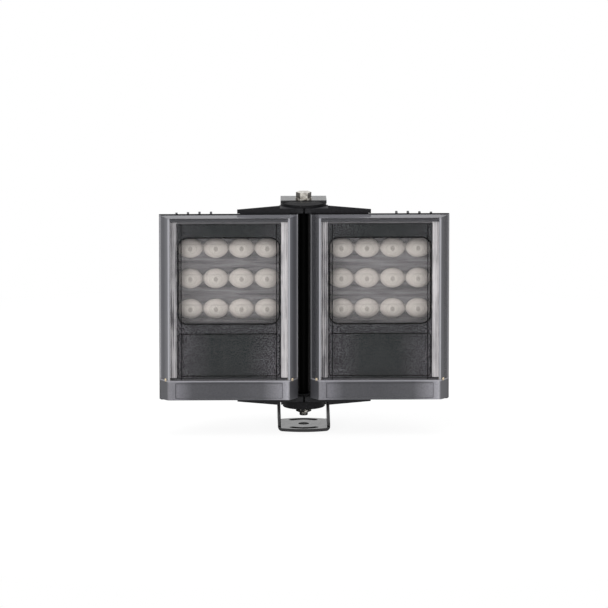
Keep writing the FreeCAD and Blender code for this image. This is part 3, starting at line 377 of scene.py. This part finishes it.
def pale_rail():
    """Pale grey moulded strip behind the clear front, with fine upright ribs about 1.9 mm
    apart, smears and broad patches: the left rail is duller and more ribbed than the right
    one, and the strip above the fascia is darker than both."""
    made, tree, coords = begin("pale_grey_abs")
    across, side, height = on_lamp(tree, coords)
    near = add(tree, "Math", {0: side, 1: RAIL * MM}, operation="SUBTRACT").outputs[0]
    turns = add(tree, "Math", {0: near, 1: 2 * math.pi / (1.9 * MM)}, operation="MULTIPLY")
    ribs = add(tree, "Math", {0: turns.outputs[0]}, operation="SINE").outputs[0]
    upright = add(tree, "Mapping", {"Vector": coords, "Scale": (1, 1, 0.05)}).outputs[0]
    smear, _ = grains(tree, upright, 1.6, 0.0, 3.0)
    broad = add(tree, "Mapping", {"Vector": coords, "Scale": (0.3, 0.3, 1)}).outputs[0]
    patch, _ = grains(tree, broad, 24, 0.0)
    patch = add(tree, "Math", {0: patch, 1: 0.5}, operation="SUBTRACT").outputs[0]
    smear = add(tree, "Math", {0: patch, 1: 0.7, 2: smear}, operation="MULTIPLY_ADD").outputs[0]
    right = within(tree, (across, -1, 1))
    ribbed = add(tree, "MapRange", {"Value": right, "To Min": 0.16, "To Max": 0.05}).outputs[0]
    tone = add(tree, "Math", {0: ribs, 1: ribbed, 2: smear}, operation="MULTIPLY_ADD").outputs[0]
    dull = between(tree, tone, 0.32, 0.68, "#4a4a4f", "#a9a9ae")
    bright = between(tree, tone, 0.26, 0.64, "#9b9ba0", "#cdcdd2")
    both = add(tree, "MixRGB", {0: right, 1: dull, 2: bright}).outputs[0]
    edge = laid_over(tree, (within(tree, (near, 6.4, 6.7)), 0.6),
                     (within(tree, (near, 0.5, 0.2)), 0.6))
    both = add(tree, "MixRGB", {0: edge, 1: both, 2: linear("#c9c9ce")}).outputs[0]
    above = within(tree, (height, FASCIA_TOP + 0.3, FASCIA_TOP + 0.5), (near, 0.2, 0.0))
    both = add(tree, "MixRGB", {0: above, 1: both, 2: linear("#626266")}).outputs[0]
    return close(made, add(tree, "BsdfPrincipled", {"Base Color": both, "Roughness": 0.45,
                                                    "Specular IOR Level": 0.3}))


def diffuser_sheet():
    """Clear acrylic sheet with a light frost, so the lenses behind it look milky."""
    made, tree, coords = begin("frosted_acrylic")
    cloud, _ = grains(tree, coords, 6.0, 0.0)
    clear = add(tree, "BsdfTransparent", {"Color": linear("#f8f8f7")})
    frost = add(tree, "BsdfDiffuse", {"Color": between(tree, cloud, 0.3, 0.7, "#b7b7ba",
                                                       "#c5c5c8")})
    return close(made, add(tree, "MixShader", {0: 0.09, 1: clear.outputs[0],
                                               2: frost.outputs[0]}))


def led_board():
    """Aluminium-core board under pale solder mask: long smeared streaks between the rows, and
    a paler line along each row where the lenses' tips meet: painted light for the light the milky
    lenses carry to their tips."""
    made, tree, coords = begin("pale_solder_mask")
    _, _, height = on_lamp(tree, coords)
    stretched = add(tree, "Mapping", {"Vector": coords, "Scale": (0.1, 1, 1)}).outputs[0]
    streak, normal = grains(tree, stretched, 4.2, 0.02, 3.0)
    mask = between(tree, streak, 0.36, 0.64, "#4a4a53", "#93939c")
    row = add(tree, "Math", {0: from_nearest_led(tree, height, WINDOW_Z, ROW_PITCH)},
              operation="ABSOLUTE").outputs[0]
    # Painted light: the pale line stands for light that the milky lenses carry out to their tips.
    tips = within(tree, (row, 4.5, 1.2))
    return close(made, add(tree, "BsdfPrincipled", {
        "Base Color": add(tree, "MixRGB", {0: tips, 1: mask, 2: linear("#f6f2f1")}).outputs[0],
        "Roughness": 0.5, "Specular IOR Level": 0.3, "Normal": normal}))


def milky_lens():
    """Milky silicone lens: pale rings round a small grey die, greyer at its rim, with a faint
    level groove above the die. A point's place in its lens is x and z less the nearest LED's,
    over half the lens's width and height."""
    made, tree, coords = begin("milky_silicone")
    across, _, height = on_lamp(tree, coords)
    aside = from_nearest_led(tree, across, -COLUMN_PITCH / 2, COLUMN_PITCH)
    up = from_nearest_led(tree, height, WINDOW_Z, ROW_PITCH)
    place = add(tree, "CombineXYZ", {0: aside, 2: up}).outputs[0]
    over_half = (1 / (LENS_HALF_WIDTH * MM), 0.0, 1 / (LENS_HALF_HEIGHT * MM))
    place = add(tree, "VectorMath", {0: place, 1: over_half}, operation="MULTIPLY").outputs[0]
    away = add(tree, "VectorMath", {0: place}, operation="LENGTH").outputs["Value"]
    cloud, _ = grains(tree, coords, 4.0, 0.0)
    cloud = add(tree, "Math", {0: cloud, 1: 0.5}, operation="SUBTRACT").outputs[0]
    away = add(tree, "Math", {0: cloud, 1: 0.12, 2: away}, operation="MULTIPLY_ADD").outputs[0]
    tone = stops(tree, away, 0.0, 1.0, (
        (0.0, "#fbf7f5"), (0.27, "#fbf7f5"), (0.36, "#e8e3e2"), (0.44, "#f7f3f2"),
        (0.5, "#d9d4d3"), (0.57, "#f0ebea"), (0.78, "#e8e2e2"), (0.93, "#e0dbdb"),
        (1.0, "#d0cccd")))
    # The die is narrower than high, so x counts more there; a dot product of a place with
    # itself is the square of its distance.
    narrow = add(tree, "VectorMath", {0: place, 1: (math.sqrt(2.2), 1.0, 1.0)},
                 operation="MULTIPLY").outputs[0]
    square = add(tree, "VectorMath", {0: narrow, 1: narrow}, operation="DOT_PRODUCT")
    die = add(tree, "MapRange", {"Value": square.outputs["Value"], "From Min": 0.04,
                                 "From Max": 0.11, "To Min": 0.75, "To Max": 0.0}).outputs[0]
    tone = add(tree, "MixRGB", {0: die, 1: tone, 2: linear("#aaa5a4")}).outputs[0]
    groove = laid_over(tree, (within(tree, (up, 3.23, 4.12), (up, 5.78, 4.9)), 0.22))
    tone = add(tree, "MixRGB", {0: groove, 1: tone, 2: linear("#9a9496")}).outputs[0]
    return close(made, add(tree, "BsdfPrincipled", {"Base Color": tone, "Roughness": 0.35,
                                                    "Specular IOR Level": 0.3}))


def plain_surface(name, low, high, roughness, size=1.5, depth=0.02):
    """Small plain part: moulded silicone and nylon, blackened screws, ceramic packages and a
    board's mask show a slight mottle of that size, and grains of that depth, both in mm."""
    made, tree, coords = begin(name)
    grain, normal = grains(tree, coords, size, depth)
    return close(made, add(tree, "BsdfPrincipled", {
        "Base Color": between(tree, grain, 0.3, 0.7, low, high), "Roughness": roughness,
        "Normal": normal}))


def dress_nodes():
    """One finish for each node of the frame; both lamps' nodes share theirs."""
    casting, steel = textured_powder_coat(), gloss_powder_coat()
    bolt = stainless_steel("stainless_steel")
    seal = plain_surface("black_silicone", "#0b0b0c", "#131314", 0.6)
    nylon = black_nylon("black_nylon", "#0d0d0e", "#1b1b1d", 1.0, 0.1)
    gland = black_nylon("gland_nylon", "#101011", "#1d1d1f", 1.4)
    finishes = {
        "u_bracket": steel, "hinge_frame": steel,
        "tilt_bolts": bolt, "tilt_washers": bolt, "tilt_nuts": bolt, "hinge_washers": bolt,
        "hinge_bolt": stainless_steel("scaled_stainless_steel", 0.85),
        "hinge_nut": blackened_steel(),
        # Painted shade: the sleeve's black nylon is drawn near-black and matte, darker than the
        # other nylon, for the shade in the gap between the lamps.
        "hinge_sleeve": black_nylon("sleeve_nylon", "#050505", "#0a0a0b", 1.5, 0.05),
        "top_hinge_cap": nylon, "bottom_hinge_cap": nylon,
        "pivot_washers": plain_surface("white_nylon", "#b9b7af", "#cfccc2", 0.45),
        "housing": casting, "top_arm": casting, "bottom_arm": casting, "rear_cover": casting,
        "cover_gasket": seal, "rear_gasket": seal,
        "front_cover": smoked_polycarbonate(), "lens_tray": tray_moulding(),
        "tray_screws": turned_brass(), "rear_cover_screws": bolt, "cover_screws": bolt,
        "arm_screws": plain_surface("black_oxide_steel", "#0d0d0e", "#1c1c1d", 0.35),
        "fascia": fascia_moulding(), "side_rails": pale_rail(), "lens_insert": diffuser_sheet(),
        "led_optics": milky_lens(), "led_board": led_board(),
        "leds": plain_surface("white_ceramic", "#b9b28f", "#d8d2b4", 0.3, 0.8, 0.0),
        "driver_board": plain_surface("green_solder_mask", "#1d4a30", "#28613f", 0.35, 1.0, 0.01),
        "gland_body": gland, "gland_nut": gland,
    }
    for node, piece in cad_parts.items():
        chosen = finishes[node.replace("left_", "").replace("right_", "")]
        if not piece.material_slots:
            piece.data.materials.append(None)
        for slot in piece.material_slots:
            slot.material = chosen


def grid_mesh(name, points, across=False, along=False):
    """Mesh over a grid of points (rows, columns, 3); across joins each row's ends, along
    joins the first and last rows."""
    rows, columns = points.shape[:2]
    u = np.arange(rows if along else rows - 1)[:, None]
    v = np.arange(columns if across else columns - 1)[None, :]
    right, below = (v + 1) % columns, (u + 1) % rows
    faces = np.stack([u * columns + v, u * columns + right, below * columns + right,
                      below * columns + v], -1)
    mesh = bpy.data.meshes.new(name)
    mesh.from_pydata(points.reshape(-1, 3).tolist(), [], faces.reshape(-1, 4).tolist())
    mesh.update()
    piece = bpy.data.objects.new(name, mesh)
    scene.collection.objects.link(piece)
    return piece


def settle(piece, body, finish):
    """A smooth piece with its finish, carried by a body."""
    piece.data.shade_smooth()
    piece.data.materials.append(finish)
    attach(piece, body)


def thread(name, body, radius, pitch, low, high, finish):
    """Helical thread round the Z axis: at turn t and height z the radius is the crest's, less a
    triangle wave of z / pitch - t / 2 pi, closed to a small flat ring at each end."""
    t = np.linspace(0, 2 * np.pi, 49)[:-1][None, :]
    z = np.linspace(low, high, int((high - low) / pitch * 10) + 1)[:, None]
    wave = np.abs(((z / pitch - t / (2 * np.pi)) % 1.0) * 2 - 1)
    depth, root = 0.3 * pitch, radius - 0.45 * pitch
    fade = np.clip(np.minimum(z - low, high - z) / (0.4 * pitch), 0, 1)
    r = (radius - wave * depth) * fade + root * (1 - fade)
    points = np.stack([r * np.cos(t), r * np.sin(t), z + 0 * t], -1) * MM
    settle(grid_mesh(name, points, across=True), body, finish)


def lip(name, body, middle, half, corner, wide, high, finish):
    """Raised line round a rectangle with rounded corners, such as a window's lip or a seal's
    bead: along the rectangle's edge, out by wide / 2 times the cosine and forward by high times
    the sine of a half turn, with a flat back."""
    turn = np.linspace(0, np.pi / 2, 9)
    path = []
    for quarter, (a, b) in enumerate(((1, 1), (-1, 1), (-1, -1), (1, -1))):
        outwards = turn + quarter * np.pi / 2
        path.append(np.stack([a * (half[0] - corner) + corner * np.cos(outwards),
                              b * (half[1] - corner) + corner * np.sin(outwards),
                              np.cos(outwards), np.sin(outwards)], -1))
    x, z, out_x, out_z = np.concatenate(path).T[:, :, None]
    arc = np.linspace(np.pi, 0, 9)[None, :]
    out, front = wide / 2 * np.cos(arc), high * np.sin(arc)
    points = np.stack([middle[0] + x + out_x * out, middle[1] - front + 0 * x,
                       middle[2] + z + out_z * out], -1) * MM
    settle(grid_mesh(name, points, along=True, across=True), body, finish)


def studio():
    """White world and floor for the rays that see them; a softer level lights the object."""
    world = bpy.data.worlds.new("studio")
    scene.world = world
    world.use_nodes = True
    tree = world.node_tree
    tree.nodes.clear()
    rays = add(tree, "LightPath").outputs
    seen = laid_over(tree, (rays["Is Camera Ray"], 1.0), (rays["Is Glossy Ray"], 1.0),
                     (rays["Is Transmission Ray"], 1.0))
    level = add(tree, "MapRange", {"Value": seen, "To Min": 0.62, "To Max": 1.0}).outputs[0]
    sky = add(tree, "Background", {"Color": (1, 1, 1, 1), "Strength": level})
    add(tree, "OutputWorld", {"Surface": sky.outputs[0]})

    # The floor shines evenly white from 0.7 m out, and lets a faint shadow show near the object.
    made, tree, coords = begin("white_vinyl")
    rays = add(tree, "LightPath").outputs
    seen = laid_over(tree, (rays["Is Camera Ray"], 1.0), (rays["Is Glossy Ray"], 1.0))
    reach = add(tree, "VectorMath", {0: coords}, operation="LENGTH").outputs["Value"]
    plain = add(tree, "MapRange", {"Value": reach, "From Min": 0.2, "From Max": 0.7,
                                   "To Min": 0.88, "To Max": 1.0}).outputs["Result"]
    share = add(tree, "Math", {0: seen, 1: plain}, operation="MULTIPLY").outputs[0]
    matte = add(tree, "BsdfDiffuse", {"Color": linear("#f7f7f7")})
    lit = add(tree, "Emission", {"Color": (1, 1, 1, 1), "Strength": 1.0})
    close(made, add(tree, "MixShader", {0: share, 1: matte.outputs[0], 2: lit.outputs[0]}))
    half, level = 3.0, float(cad_box[0][2]) - 0.0002
    ends = np.linspace(-half, half, 9)
    points = np.stack(np.broadcast_arrays(ends[None, :], ends[:, None], level), -1)
    floor = grid_mesh("floor", points)
    floor.data.materials.append(made)

    for name, place, size, power in (("key", (-1.5, -1.3, 1.4), 1.2, 30.0),
                                     ("fill", (1.5, -1.4, 0.9), 1.2, 5.5),
                                     ("overhead", (0.0, 0.1, 1.6), 1.4, 20.0)):
        lamp = bpy.data.lights.new(name, "AREA")
        lamp.shape, lamp.size, lamp.energy = "SQUARE", size, power
        holder = bpy.data.objects.new(name, lamp)
        holder.location = place
        towards = Vector(place) - Vector((0, 0, 0.12))
        holder.rotation_euler = towards.to_track_quat("Z", "Y").to_euler()
        scene.collection.objects.link(holder)


place_camera()
dress_nodes()
thread("hinge_bolt_thread", "frame", radius=4.3, pitch=1.25, low=11.75, high=15.45,
       finish=bpy.data.materials["blackened_steel"])
black = black_nylon("black_lip_nylon", "#020202", "#050505", 1.5, 0.02)
grey = black_nylon("grey_lip_nylon", "#38383b", "#4a4a4d", 1.5, 0.2)
for side_name, x in (("left", -LAMP_X), ("right", LAMP_X)):
    # Painted shade: the window lip's near-black stands partly for the dark outline of shade round
    # the window.
    lip(f"{side_name}_window_lip", f"{side_name}_lamp", (x, -37.5, WINDOW_Z), (49.2, 42.7),
        corner=9.0, wide=1.3, high=0.35, finish=black)
    lip(f"{side_name}_panel_lip", f"{side_name}_lamp", (x, -37.45, 79.5), (49.4, 20.9),
        corner=3.0, wide=0.9, high=0.3, finish=black)
    lip(f"{side_name}_seal_bead", f"{side_name}_lamp", (x, -25.6, 125.0), (66.5, 91.0),
        corner=1.2, wide=2.0, high=1.0, finish=black)
    lip(f"{side_name}_tray_line", f"{side_name}_lamp", (x, -39.5, 44.2), (52.0, 7.5),
        corner=0.8, wide=0.6, high=0.25, finish=grey)
studio()
scene.view_settings.view_transform = "Standard"
